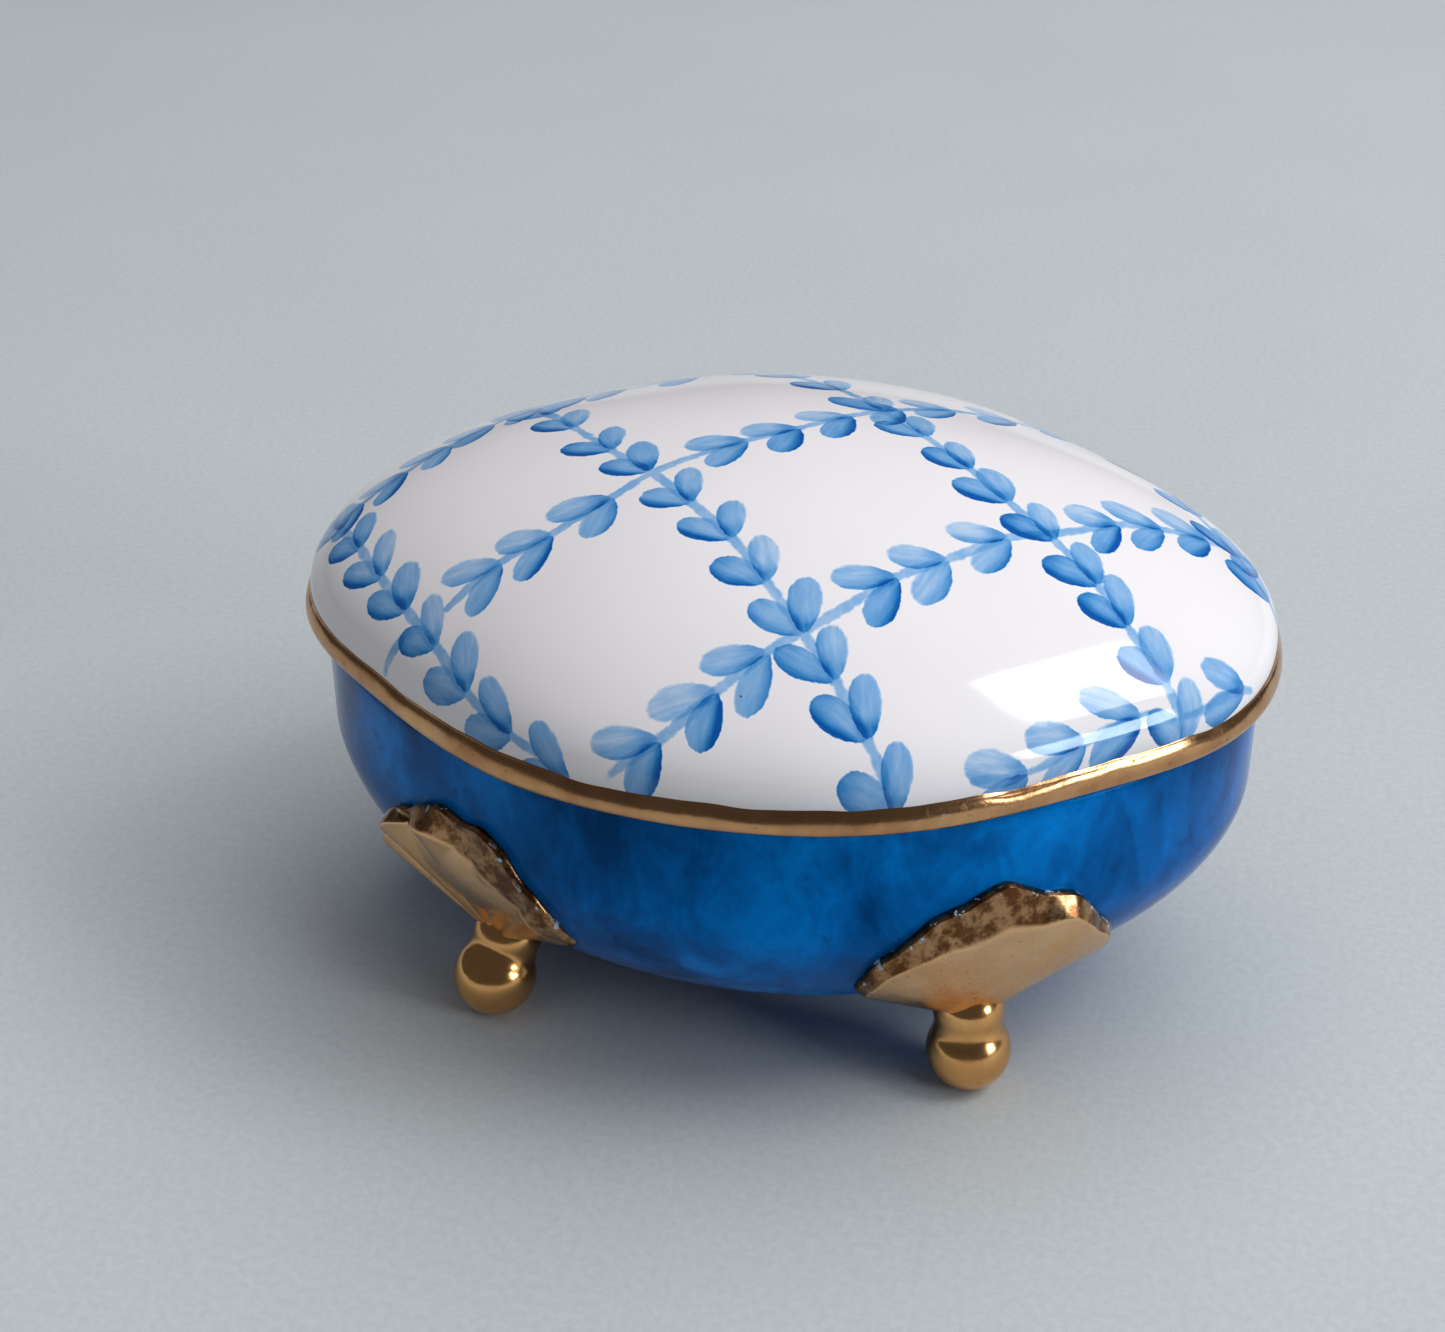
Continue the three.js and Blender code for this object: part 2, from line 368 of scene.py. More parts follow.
def makeRoom():
    for name in ("window", "lowerPane", "softbox", "ceiling", "leftFill"):
        aimedLight(name, Vector(room["aim"]))
    world = bpy.data.worlds.new("dimRoom")
    world.use_nodes = True
    world.node_tree.nodes["Background"].inputs["Color"].default_value = (*room["roomLight"], 1)
    bpy.context.scene.world = world
    bpy.context.scene.view_settings.view_transform = "Standard"

    bpy.ops.mesh.primitive_plane_add(size=room["floor"])
    floor = bpy.context.object
    floor.name = "paperFloor"
    material, tree, shader, where = startMaterial("palePaper", Roughness=0.8, Specular_IOR_Level=0.25)
    grain = noiseField(tree, where, room["grain"], 5, 0.7)
    cloud = noiseField(tree, where, room["cloud"], 2)
    fibres = spread(tree, grain, -0.055, 0.055)
    shade = sum2(tree, "ADD", fibres, spread(tree, cloud, -0.012, 0.012))
    paper = room["paper"]
    dark = tuple(c * 0.8 for c in paper)
    light = tuple(c * 1.2 for c in paper)
    colour = blendColours(tree, between(tree, shade, -0.2, 0.2, soft=False), dark, light)
    tree.links.new(colour, shader.inputs["Base Color"])
    bumped(tree, shader, [(grain, 0.03 * mm)])
    floor.data.materials.append(material)


makeRoom()
print("camera, room and floor made")

# white and blue glaze
whiteLook = {
    "clay": (0.84, 0.805, 0.83),
    "warm": (0.815, 0.785, 0.80),
    "pinhole": (0.10, 0.08, 0.07),
    "bisque": (0.74, 0.69, 0.63),
    "cloud": 22 * mm,
    "patch": 9 * mm,
    "peel": 1.6 * mm,
    "wave": 11 * mm,
    "pinholes": 9 * mm,
}
brushStops = [  # how the cobalt wash deepens
    (0.0, whiteLook["clay"]),
    (0.14, (0.50, 0.62, 0.79)),
    (0.34, (0.235, 0.435, 0.71)),
    (0.55, (0.115, 0.32, 0.63)),
    (0.78, (0.020, 0.19, 0.50)),
    (1.0, (0.001, 0.085, 0.36)),
]


def brushGroup():
    # one layer of brush strokes: how much pigment lies at a point
    tree = bpy.data.node_groups.new("brushStroke", "ShaderNodeTree")
    for name in ("Inside", "Stroke"):
        kind = "NodeSocketFloat" if name == "Inside" else "NodeSocketVector"
        tree.interface.new_socket(name, in_out="INPUT", socket_type=kind)
    tree.interface.new_socket("Where", in_out="INPUT", socket_type="NodeSocketVector")
    tree.interface.new_socket("Pigment", in_out="OUTPUT", socket_type="NodeSocketFloat")
    given = tree.nodes.new("NodeGroupInput").outputs
    parts = addNode(tree, "ShaderNodeSeparateXYZ", {"Vector": given["Stroke"]}).outputs
    flow = addNode(tree, "ShaderNodeCombineXYZ", {"X": sum2(tree, "MULTIPLY", parts["X"], 0.3),
                                                  "Y": sum2(tree, "MULTIPLY", parts["Y"], 1.5)}).outputs[0]
    streaks = addNode(tree, "ShaderNodeTexNoise", {"Vector": flow, "Scale": 1.0, "Detail": 4.0,
                                                   "Roughness": 0.6}).outputs["Fac"]
    ragged = noiseField(tree, given["Where"], 0.7 * mm, 3, 0.6)
    inside = sum2(tree, "ADD", given["Inside"], spread(tree, ragged, -0.05, 0.05))
    inside = sum2(tree, "ADD", inside, spread(tree, streaks, -0.05, 0.05))
    crisp = between(tree, inside, -0.07, 0.09)
    gentle = between(tree, inside, -0.14, 0.34)
    wet = between(tree, parts["Z"], 0.25, 0.6)  # full strokes end sharply, thin ones fade
    mask = sum2(tree, "ADD", sum2(tree, "MULTIPLY", crisp, wet),
                sum2(tree, "MULTIPLY", gentle, sum2(tree, "SUBTRACT", 1.0, wet)))
    pooled = between(tree, inside, 0.02, 0.4, 0.07, 0.0)
    amount = sum2(tree, "ADD", parts["Z"], between(tree, streaks, 0.25, 0.75, -0.085, 0.085))
    amount = sum2(tree, "ADD", amount, pooled)
    amount = sum2(tree, "MAXIMUM", amount, 0.06)
    out = tree.nodes.new("NodeGroupOutput")
    tree.links.new(sum2(tree, "MULTIPLY", amount, mask), out.inputs["Pigment"])
    return tree


def readAttribute(tree, name):
    return addNode(tree, "ShaderNodeAttribute", {}, attribute_name=name)


def paintedPigment(tree, where):
    # four layers of strokes and two of stems, from the attributes that paintSprigs writes
    group = brushGroup()
    left = None
    for number, edge in enumerate(("X", "Y", "X", "Y")):
        outline = readAttribute(tree, "outline1" if number < 2 else "outline2").outputs["Vector"]
        parts = addNode(tree, "ShaderNodeSeparateXYZ", {"Vector": outline}).outputs
        stroke = addNode(tree, "ShaderNodeGroup", {}, node_tree=group)
        tree.links.new(parts[edge], stroke.inputs["Inside"])
        flow = readAttribute(tree, f"stroke{number}").outputs["Vector"]
        tree.links.new(flow, stroke.inputs["Stroke"])
        tree.links.new(where, stroke.inputs["Where"])
        layer = stroke.outputs["Pigment"]
        if left is None:
            left = layer
        else:  # where strokes cross the wash only gets a little deeper
            both = sum2(tree, "MULTIPLY", sum2(tree, "MINIMUM", left, layer), 0.25)
            left = sum2(tree, "ADD", sum2(tree, "MAXIMUM", left, layer), both)
    ragged = spread(tree, noiseField(tree, where, 0.8 * mm, 3, 0.6), -0.07, 0.07)
    veins = None
    for outlineName in ("outline1", "outline2"):
        outline = readAttribute(tree, outlineName).outputs["Vector"]
        far = addNode(tree, "ShaderNodeSeparateXYZ", {"Vector": outline}).outputs["Z"]
        vein = between(tree, sum2(tree, "ADD", far, ragged), -0.12, 0.18, 0.0, 0.33)
        veins = vein if veins is None else sum2(tree, "MAXIMUM", veins, vein)
    thin = noiseField(tree, where, 2.2 * mm, 3, 0.6)
    veins = sum2(tree, "MULTIPLY", veins, between(tree, thin, 0.25, 0.7, 0.75, 1.2))
    showing = between(tree, left, 0.1, 0.5, 1.0, 0.35)
    return sum2(tree, "ADD", left, sum2(tree, "MULTIPLY", veins, showing))


def whiteGlaze(name, painted=False, bareFoot=False):
    material, tree, shader, where = startMaterial(name, IOR=1.5)
    cloud = noiseField(tree, where, whiteLook["cloud"], 3)
    colour = blendColours(tree, spread(tree, cloud), whiteLook["clay"], whiteLook["warm"])
    rough = spread(tree, noiseField(tree, where, whiteLook["patch"], 3), 0.06, 0.10)
    if painted:
        pigment = paintedPigment(tree, where)
        paint = colourRamp(tree, pigment, brushStops)
        colour = blendColours(tree, between(tree, pigment, 0.0, 0.03), colour, paint)
    dots = specks(tree, where, whiteLook["pinholes"], 0.016, 0.5)
    colour = blendColours(tree, dots, colour, whiteLook["pinhole"])
    if bareFoot:
        bare = readAttribute(tree, "unglazed").outputs["Fac"]
        colour = blendColours(tree, bare, colour, whiteLook["bisque"])
        rough = sum2(tree, "ADD", rough, sum2(tree, "MULTIPLY", bare, 0.55))
    tree.links.new(colour, shader.inputs["Base Color"])
    tree.links.new(rough, shader.inputs["Roughness"])
    peel = noiseField(tree, where, whiteLook["peel"], 2)
    wave = noiseField(tree, where, whiteLook["wave"], 2)
    pits = sum2(tree, "SUBTRACT", 1.0, dots)
    bumped(tree, shader, [(wave, 0.05 * mm), (peel, 0.004 * mm), (pits, 0.03 * mm)])
    return material


blueLook = {
    "deep": (0.0, 0.05, 0.19),
    "body": (0.0, 0.12, 0.42),
    "thin": (0.0, 0.25, 0.78),
    "lining": (0.80, 0.765, 0.785),
    "pinhole": (0.0, 0.018, 0.12),
    "gloss": 0.1,
    "sheen": (0.02, 0.35, 1.0, 1.0),
    "slow": 17 * mm,
    "wash": 5.5 * mm,
    "fine": 0.9 * mm,
    "pool": 4.2 * mm,
    "pinholes": 5 * mm,
}


def blueGlaze():
    shine = {"Specular_IOR_Level": blueLook["gloss"], "Specular_Tint": blueLook["sheen"]}
    material, tree, shader, where = startMaterial("blueGlaze", IOR=1.5, **shine)
    slow = noiseField(tree, where, blueLook["slow"], 3, 0.55, 0.6)
    wash = noiseField(tree, stretched(tree, where, (1, 1, 0.45)), blueLook["wash"], 4, 0.62, 0.8)
    fine = noiseField(tree, where, blueLook["fine"], 3, 0.6)
    slowDepth = between(tree, slow, 0.28, 0.72, 0.0, 0.6)
    depth = sum2(tree, "ADD", slowDepth, spread(tree, wash, 0.0, 0.32))
    depth = sum2(tree, "ADD", depth, spread(tree, fine, -0.03, 0.05))
    stops = [(0.08, blueLook["deep"]), (0.5, blueLook["body"]), (0.95, blueLook["thin"])]
    colour = colourRamp(tree, depth, stops)
    pool = noiseField(tree, where, blueLook["pool"], 2, 0.5, 0.4)
    pools = between(tree, pool, 0.66, 0.76, 0.0, 0.6)
    colour = blendColours(tree, pools, colour, blueLook["deep"])
    dots = specks(tree, where, blueLook["pinholes"], 0.03, 0.3)
    colour = blendColours(tree, dots, colour, blueLook["pinhole"])
    lined = sum2(tree, "ADD", readAttribute(tree, "lining").outputs["Fac"],
                 spread(tree, noiseField(tree, where, 3 * mm, 3), -0.35, 0.35))
    colour = blendColours(tree, between(tree, lined, -0.12, 0.12), colour, blueLook["lining"])
    tree.links.new(colour, shader.inputs["Base Color"])
    rough = spread(tree, wash, 0.09, 0.17)
    tree.links.new(rough, shader.inputs["Roughness"])
    bumped(tree, shader, [(slow, 0.12 * mm), (wash, 0.025 * mm), (fine, 0.003 * mm)])
    return material


# gilding
goldLook = {
    "metal": (0.86, 0.48, 0.18),
    "warm": (0.72, 0.36, 0.125),
    "tarnish": (0.24, 0.12, 0.045),
    "rubbed": (0.62, 0.56, 0.50),
    # the next colour is partly worn gilding and partly painted shade on the shells' sloping top edge
    "copperAndShade": (0.13, 0.052, 0.02),
    "chip": (0.42, 0.55, 0.72),
    "cloud": 6 * mm,
    "darkening": 1.1 * mm,
    "rubbing": 3.4 * mm,
    "spots": 1.6 * mm,
}


def gilding(name, polish, wear, crackle, ledge=False, metal=goldLook["metal"], warm=goldLook["warm"]):
    material, tree, shader, where = startMaterial(name, Metallic=1.0)
    cloud = noiseField(tree, where, goldLook["cloud"], 4, 0.6)
    colour = blendColours(tree, between(tree, cloud, 0.3, 0.75), metal, warm)
    darkening = noiseField(tree, where, goldLook["darkening"], 4, 0.7)
    dark = sum2(tree, "MULTIPLY", between(tree, darkening, 0.62, 0.72), wear)
    colour = blendColours(tree, dark, colour, goldLook["tarnish"])
    rubbing = noiseField(tree, where, goldLook["rubbing"], 4, 0.65)
    patch = between(tree, rubbing, 0.64, 0.74, 0.0, 0.75 * wear)
    colour = blendColours(tree, patch, colour, goldLook["rubbed"])
    dots = specks(tree, where, goldLook["spots"], 0.10, 0.22)
    colour = blendColours(tree, dots, colour, goldLook["tarnish"])
    rough = sum2(tree, "ADD", between(tree, cloud, 0.25, 0.75, polish, polish + 0.12),
                 sum2(tree, "MULTIPLY", sum2(tree, "MAXIMUM", dark, patch), 0.3))
    if ledge:  # the top edge is dull and darker brown, partly worn gilding and partly painted shade for the dark things it reflects, and chipped to the white glaze along its brink
        slope = readAttribute(tree, "ledge").outputs["Fac"]
        mottled = noiseField(tree, where, 1.8 * mm, 4, 0.7)
        sloping = between(tree, slope, 0.02, 0.2)
        # painted shade, partly real wear: the sloping top edge is mixed towards dark copper
        brownAndShade = sum2(tree, "MULTIPLY", sloping, between(tree, mottled, 0.4, 0.65, 1.0, 0.55))
        colour = blendColours(tree, brownAndShade, colour, goldLook["copperAndShade"])
        chips = sum2(tree, "MULTIPLY", readAttribute(tree, "brink").outputs["Fac"],
                     between(tree, noiseField(tree, where, 1.1 * mm, 3, 0.6), 0.60, 0.66))
        colour = blendColours(tree, chips, colour, goldLook["chip"])
        tree.links.new(sum2(tree, "SUBTRACT", 1.0, chips), shader.inputs["Metallic"])
    tree.links.new(colour, shader.inputs["Base Color"])
    tree.links.new(rough, shader.inputs["Roughness"])
    slow = noiseField(tree, where, 2.6 * mm, 3)
    fine = noiseField(tree, where, 0.45 * mm, 3, 0.6)
    bumped(tree, shader, [(slow, 0.05 * mm * crackle), (fine, 0.008 * mm * crackle)])
    return material


print("glazes and gilding mixed")

# the lid's porcelain dome
domeLook = {
    "rise": lidHigh.z - lidLow.z,
    "across": 1.8,
    "up": 1.73,
    "wall": 2.8 * mm,
    "shoulderIn": 0.8 * mm,  # the glaze sits this far behind the gilt lip
    "shoulder": 6 * mm,
    "wave": 0.10 * mm,
    "waveReach": 45 * mm,
    "rings": 140,
    "turns": 560,
    "innerRings": 16,
}
edgeTop = lidLow.z
rimHeight = bandLow.z


def domeHeight(share, rise):
    return edgeTop + rise * (1 - np.minimum(share, 1.0) ** domeLook["across"]) ** (1 / domeLook["up"])


def domeLift(share):
    return domeHeight(share, domeLook["rise"])


def shoulderIn(height):
    # how far the dome draws in, only close above the lip
    near = np.clip(1 - (height - edgeTop) / domeLook["shoulder"], 0, 1)
    return domeLook["shoulderIn"] * near * near


def makeDome():
    outer = evenShares(domeLift, domeLook["rings"], 0.046)
    rows = [(inset(lobedLid, shoulderIn(domeLift(s))), s, domeLift(s)) for s in outer]
    low = rimHeight + 0.12 * mm
    rows += [(inset(lobedLid, 0.8 * mm), 1.0, edgeTop - 0.8 * mm),
             (inset(lobedLid, 0.8 * mm), 1.0, rimHeight + 0.7 * mm),
             (inset(lobedLid, 0.95 * mm), 1.0, rimHeight + 0.25 * mm),
             (inset(lobedLid, 1.3 * mm), 1.0, low),
             (inset(hollowPlan, -0.6 * mm), 1.0, low),
             (inset(hollowPlan, -0.6 * mm), 1.0, edgeTop - 0.9 * mm),
             (inset(hollowPlan, -0.05 * mm), 1.0, edgeTop - 0.6 * mm)]
    rise = domeLook["rise"] - domeLook["wall"]
    inner = evenShares(lambda s: domeHeight(s, rise), domeLook["innerRings"], 0.04)[::-1]
    rows += [(hollowPlan, s, domeHeight(s, rise)) for s in inner]
    dome, row, angle = turnedLadder("lidPorcelain", [share for _, share, _ in rows], domeLook["turns"])
    spots = placeRows(rows, row, angle)
    outside = row < domeLook["rings"]
    free = np.clip((spots[:, 2] - edgeTop) / (8 * mm), 0, 1) * outside
    wave = domeLook["wave"]
    spots[:, 2] -= free * (wave + handWaves(spots, 5, wave, domeLook["waveReach"]))
    moveSpots(dome, spots)
    faceOutwards(dome)
    return dome, outside


dome, domeOutside = makeDome()
print("lid turned")

# Sprigs painted on the lid, in millimetres of its plan. Each line runs from the root to the growing tip,
# with a pair of leaves at every point that isn't in bare. Most places come from a scratch fit, not a rule.
sprigs = [
    {"lean": "back", "bare": (0, 9), "line": [
        (-7, -42), (-11.4, -40.3), (-17.4, -37.7), (-22.8, -33.9), (-27.6, -28.9), (-32.3, -24.1),
        (-36.7, -19.4), (-41, -14.2), (-45.2, -8.8), (-50, -2)]},
    {"lean": "back", "bare": (0, 16), "line": [
        (21.8, -41), (19, -38.6), (15.6, -35.8), (11.8, -32.2), (8.1, -28.7), (3.5, -24), (-0.9, -19.3),
        (-6.1, -14.7), (-11.7, -9.4), (-16.9, -5.1), (-22.7, 1.2), (-27.1, 6.5), (-31.8, 12), (-36.2, 17.4),
        (-40, 22.4), (-42.8, 26.4), (-45, 30)]},
    {"lean": "back", "bare": (0, 15), "line": [
        (47.5, -23), (43.8, -20.6), (40.5, -18.4), (36.4, -15.4), (33.1, -12.3), (28.3, -8.6), (23.3, -5),
        (18.8, -1), (13.5, 3.9), (8.1, 9.4), (2.6, 15.4), (-3, 20.6), (-8.8, 25.8), (-14.6, 30.8),
        (-20, 35.4), (-24.4, 39)]},
    {"lean": "back", "bare": (0, 9), "line": [
        (52, 0.6), (49.2, 3.3), (45.6, 6.6), (41, 11.4), (36, 16.4), (31, 21.4), (25.8, 26.4), (20.4, 31.4),
        (14.6, 36), (9, 40.4)]},
    {"lean": "front", "bare": (0, 2, 6), "line": [
        (51.5, -7.4), (47.9, -12), (43.4, -18.4), (38.8, -22), (34.2, -26.4), (29.8, -30.8), (25.2, -34)]},
    {"lean": "front", "bare": (0, 5, 9, 13), "line": [
        (50, 14), (47.3, 9.2), (42.4, 5.4), (37.9, 2), (33.7, -1.4), (29.3, -6.4), (24.1, -10.4),
        (19.1, -15.9), (15, -19.9), (10.4, -25.8), (5.2, -30.9), (1.5, -34.9), (-2.9, -38.8), (-9, -41.3)]},
    {"lean": "front", "bare": (0, 9, 13), "line": [
        (36, 31), (31, 27.6), (26, 24), (20.6, 19.8), (14.6, 15.8), (9.6, 11), (5.3, 6.1), (1, 0.8),
        (-3.4, -2.9), (-10.8, -9), (-14.4, -13.5), (-19, -18.5), (-23.3, -21.3), (-27.6, -25.4)]},
    {"lean": "front", "bare": (0, 12), "line": [
        (8, 42), (3, 37), (-3, 32), (-9, 27), (-15, 21.8), (-21.6, 16.8), (-25.4, 14.2), (-29.4, 11),
        (-33.6, 7.4), (-37.3, 3.2), (-40.6, -1), (-44.2, -4.8), (-47.6, -8)]},
    {"lean": "front", "bare": (0, 6), "line": [
        (-20, 39), (-26, 34), (-32, 28.6), (-38, 22.4), (-43, 16.4), (-47, 10), (-50, 5)]},
    {"lean": "front", "bare": (0, 1), "line": [(-35.4, -28.3), (-32.2, -26.6)]},
]
leafLook = {
    # angle from the stem, length, width, thin wash, dark side, dark base, dark tip
    "back": [(28, 5.8, 3.3, 0.44, 0.58, 0.06, 0.22), (-25, 6.1, 3.1, 0.34, 0.18, 0.30, 0.0)],
    "front": [(-29, 6.1, 3.3, 0.27, 0.22, 0.26, 0.02), (29, 6.1, 3.1, 0.40, 0.50, 0.14, 0.06)],
    "stem": 1.1,
    "egg": 0.26,
    "reach": 9 * mm,  # points further than this from a pair are left alone
    "apart": 40,  # keeps each leaf's streaks its own
}
unpainted = -9.0


def onDome(points):
    # the plan's points lifted to the outside of the dome, in metres
    points = np.asarray(points, float) * mm
    along = points[:, 0] / lobedLid["length"]
    across = points[:, 1] / lobedLid["width"]
    angle = np.arctan2(across, along)
    plain = np.hypot(along, across)
    share = plain
    for _ in range(6):  # the lobes fade with the share they give
        share = plain / lobing(lobedLid, angle, share)
    return np.column_stack([points, domeLift(np.minimum(share, 1.0))])


def smoothLine(points, count=12):
    points = np.asarray(points, float)
    ends = np.vstack([2 * points[0] - points[1], points, 2 * points[-1] - points[-2]])
    t = np.linspace(0, 1, count, endpoint=False)[:, None]
    made = []
    for a, b, c, d in zip(ends, ends[1:], ends[2:], ends[3:]):
        straight = 2 * b + (c - a) * t
        bend = (2 * a - 5 * b + 4 * c - d) * t ** 2
        turn = (3 * b - a - 3 * c + d) * t ** 3
        made.append(0.5 * (straight + bend + turn))
    return np.vstack([*made, points[-1:]])


def leafStroke(look, away, ahead, side, normal, drawn):
    # how far inside the leaf each point lies, with its place along and across and its pigment
    swing, length, width, wash, dark, foot, tip = look
    swing = math.radians(swing + drawn.uniform(-5, 5))
    length *= drawn.uniform(0.9, 1.1)
    width *= drawn.uniform(0.88, 1.12)
    bend = drawn.uniform(-0.35, 0.35)
    along = ahead * math.cos(swing) + side * math.sin(swing)
    over = np.cross(normal, along)
    p = away @ along / mm - 0.2
    q = away @ over / mm - bend * (p / length) ** 2
    u = p / (length / 2) - 1
    egg = np.maximum(1 + leafLook["egg"] * u - 0.12 * u * u, 0.2)
    v = q / (width / 2) / egg
    far = np.maximum(np.hypot(u, v), 1e-6)
    slopeP = (u - v * v * leafLook["egg"] / egg) * 2 / length / far
    slopeQ = v / (width / 2) / egg / far
    edge = (1 - far) / np.maximum(np.hypot(slopeP, slopeQ), 0.25)
    load = drawn.uniform(0.72, 1.22)
    shaded = dark * drawn.uniform(0.5, 1.5) * np.clip((v - 0.05) / 0.75, 0, 1) ** 1.3
    amount = wash * load + shaded
    amount = amount + foot * drawn.uniform(0.6, 1.4) * np.exp(-((p - 0.9) / 1.1) ** 2)
    amount = amount + tip * drawn.uniform(0.4, 1.5) * np.clip((u - 0.2) / 0.7, 0, 1)
    return edge, np.column_stack([p, q, amount])


def paintSprigs(piece, outside):
    spots = readSpots(piece)[outside]
    count = len(spots)
    outline = np.full((count, 4), unpainted)
    stroke = np.zeros((4, count, 3))
    vein = np.full((count, 2), unpainted)
    drawn = random.Random(21)
    number = 0
    for sprig in sprigs:
        line = np.array(sprig["line"], float)
        path = onDome(smoothLine(line))
        layer = 0 if sprig["lean"] == "back" else 1
        for a, b in zip(path, path[1:]):
            step = b - a
            t = np.clip((spots - a) @ step / (step @ step), 0, 1)
            away = np.linalg.norm(spots - a - t[:, None] * step, axis=1) / mm
            wide = leafLook["stem"] / 2 * drawn.uniform(0.85, 1.15)
            vein[:, layer] = np.maximum(vein[:, layer], wide - away)
        for index, base in enumerate(line):
            if index in sprig["bare"]:
                continue
            at = onDome([base])[0]
            near = np.argmin(np.linalg.norm(path - at, axis=1))
            ahead = path[min(near + 5, len(path) - 1)] - path[max(near - 5, 0)]
            around = np.linalg.norm(spots - at, axis=1) < leafLook["reach"]
            close = spots[around]
            if len(close) < 12:
                continue
            middle = close - close.mean(0)
            normal = np.linalg.svd(middle, full_matrices=False)[2][2]
            normal *= np.sign(normal[2])
            ahead -= normal * (ahead @ normal)
            ahead /= np.linalg.norm(ahead)
            side = np.cross(normal, ahead)
            for half, look in enumerate(leafLook[sprig["lean"]]):
                edge, told = leafStroke(look, close - at, ahead, side, normal, drawn)
                number += 1
                told[:, 0] += leafLook["apart"] * number
                which = layer * 2 + half
                better = np.flatnonzero(edge > outline[around, which])
                mine = np.flatnonzero(around)[better]
                outline[mine, which] = edge[better]
                stroke[which, mine] = told[better]
    whole = len(piece.data.vertices)
    for name, first, second, line in (("outline1", 0, 1, 0), ("outline2", 2, 3, 1)):
        values = np.full((whole, 3), unpainted)
        values[outside] = np.column_stack([outline[:, first], outline[:, second], vein[:, line]])
        setAttribute(piece, name, values)
    for which in range(4):
        values = np.zeros((whole, 3))
        values[outside] = stroke[which]
        setAttribute(piece, f"stroke{which}", values)
    print(number, "leaves painted")


paintSprigs(dome, domeOutside)
dress(dome, "lid", "white_glaze", whiteGlaze("paintedGlaze", painted=True), "lid_dome")

# the gilt lip, a thin skin of gold over the porcelain's edge
lipLook = {
    "turns": 720,
    "waver": 0.22 * mm,  # how far its painted upper edge wanders
    "proud": 0.05 * mm,
    "overlap": 0.30 * mm,  # how far up the dome the gold reaches
    "wave": 0.05 * mm,
    "waveReach": 16 * mm,
    # painted shade: the lip's gold is a darker, browner copy of the gilding, standing in for the dim things
    # it reflects
    "metal": (0.66, 0.37, 0.17),
    "warm": (0.44, 0.215, 0.095),
}


def makeLip():
    # each row is how far in from the plan's edge, and how high between the lip's bottom (0) and top (1)
    outer = [(0.80, 1.05), (0.74, 1.00), (0.66, 0.97), (0.50, 0.90), (0.35, 0.82), (0.22, 0.73),
             (0.11, 0.62), (0.03, 0.50), (0.0, 0.38), (0.04, 0.26), (0.15, 0.15), (0.33, 0.06),
             (0.58, 0.01), (0.9, 0.0), (1.5, 0.0), (2.4, 0.01)]
    inner = [(2.4, 0.10), (1.5, 0.12), (1.15, 0.16), (1.0, 0.25), (0.92, 0.40), (0.90, 0.60), (0.90, 0.80)]
    tall = edgeTop - rimHeight
    rows = [(inset(lobedLid, inward * mm), 1.0, rimHeight + up * tall) for inward, up in outer + inner]
    lip, row, angle = turnedLadder("giltLip", wallShares(len(rows)), lipLook["turns"], True)
    spots = placeRows(rows, row, angle)
    drawn = random.Random(8)
    waver = np.zeros(len(angle))
    for waves, size in ((3, 0.5), (5, 0.5), (9, 0.45), (14, 0.4), (23, 0.35), (37, 0.25), (61, 0.14)):
        waver += size * np.sin(waves * angle + drawn.uniform(0, anyPhase))
    top = edgeTop + lipLook["overlap"] + lipLook["waver"] * waver
    share = np.clip((spots[:, 2] - (rimHeight + 0.5 * tall)) / (0.52 * tall), 0, 1)
    bulge = row < len(outer)
    height = rimHeight + 0.5 * tall + (top - rimHeight - 0.5 * tall) * share
    moved = bulge & (share > 0)
    spots[moved, 2] = height[moved]
    # the top rows lie on the dome, just proud of it
    lying = (row < 3) & (spots[:, 2] > edgeTop - 0.2 * mm)
    rise = np.clip(spots[lying, 2] - edgeTop, 0, None)
    away = (1 - (rise / domeLook["rise"]) ** domeLook["up"]) ** (1 / domeLook["across"])
    skin = np.choose(row[lying], [-0.04 * mm, lipLook["proud"], lipLook["proud"] + 0.02 * mm])
    place = planSpots(lobedLid, angle[lying], away)
    long = np.linalg.norm(place, axis=1)
    drawIn = shoulderIn(spots[lying, 2]) - skin
    spots[lying, :2] = place * ((long - drawIn) / long)[:, None]
    plan = np.column_stack([spots[:, :2], 0 * angle])
    swell = handWaves(plan, 12, lipLook["wave"], lipLook["waveReach"])
    spots[:, 2] += swell * (row > 2) * (row < len(outer))
    moveSpots(lip, spots)
    faceOutwards(lip)
    return lip


lip = makeLip()
lipGold = gilding("burnishedLip", 0.14, 0.8, 1.0, metal=lipLook["metal"], warm=lipLook["warm"])
dress(lip, "lid", "gilding", lipGold, "lid_gilt_edge")

# the flange that drops into the bowl
flangeLook = {"turns": 240, "ease": 0.7 * mm}


def quarterTurn(share, radius):
    # how far a rounded edge has left each of the two faces that it joins
    turn = share * math.pi / 2
    return radius * (1 - math.cos(turn)), radius * (1 - math.sin(turn))


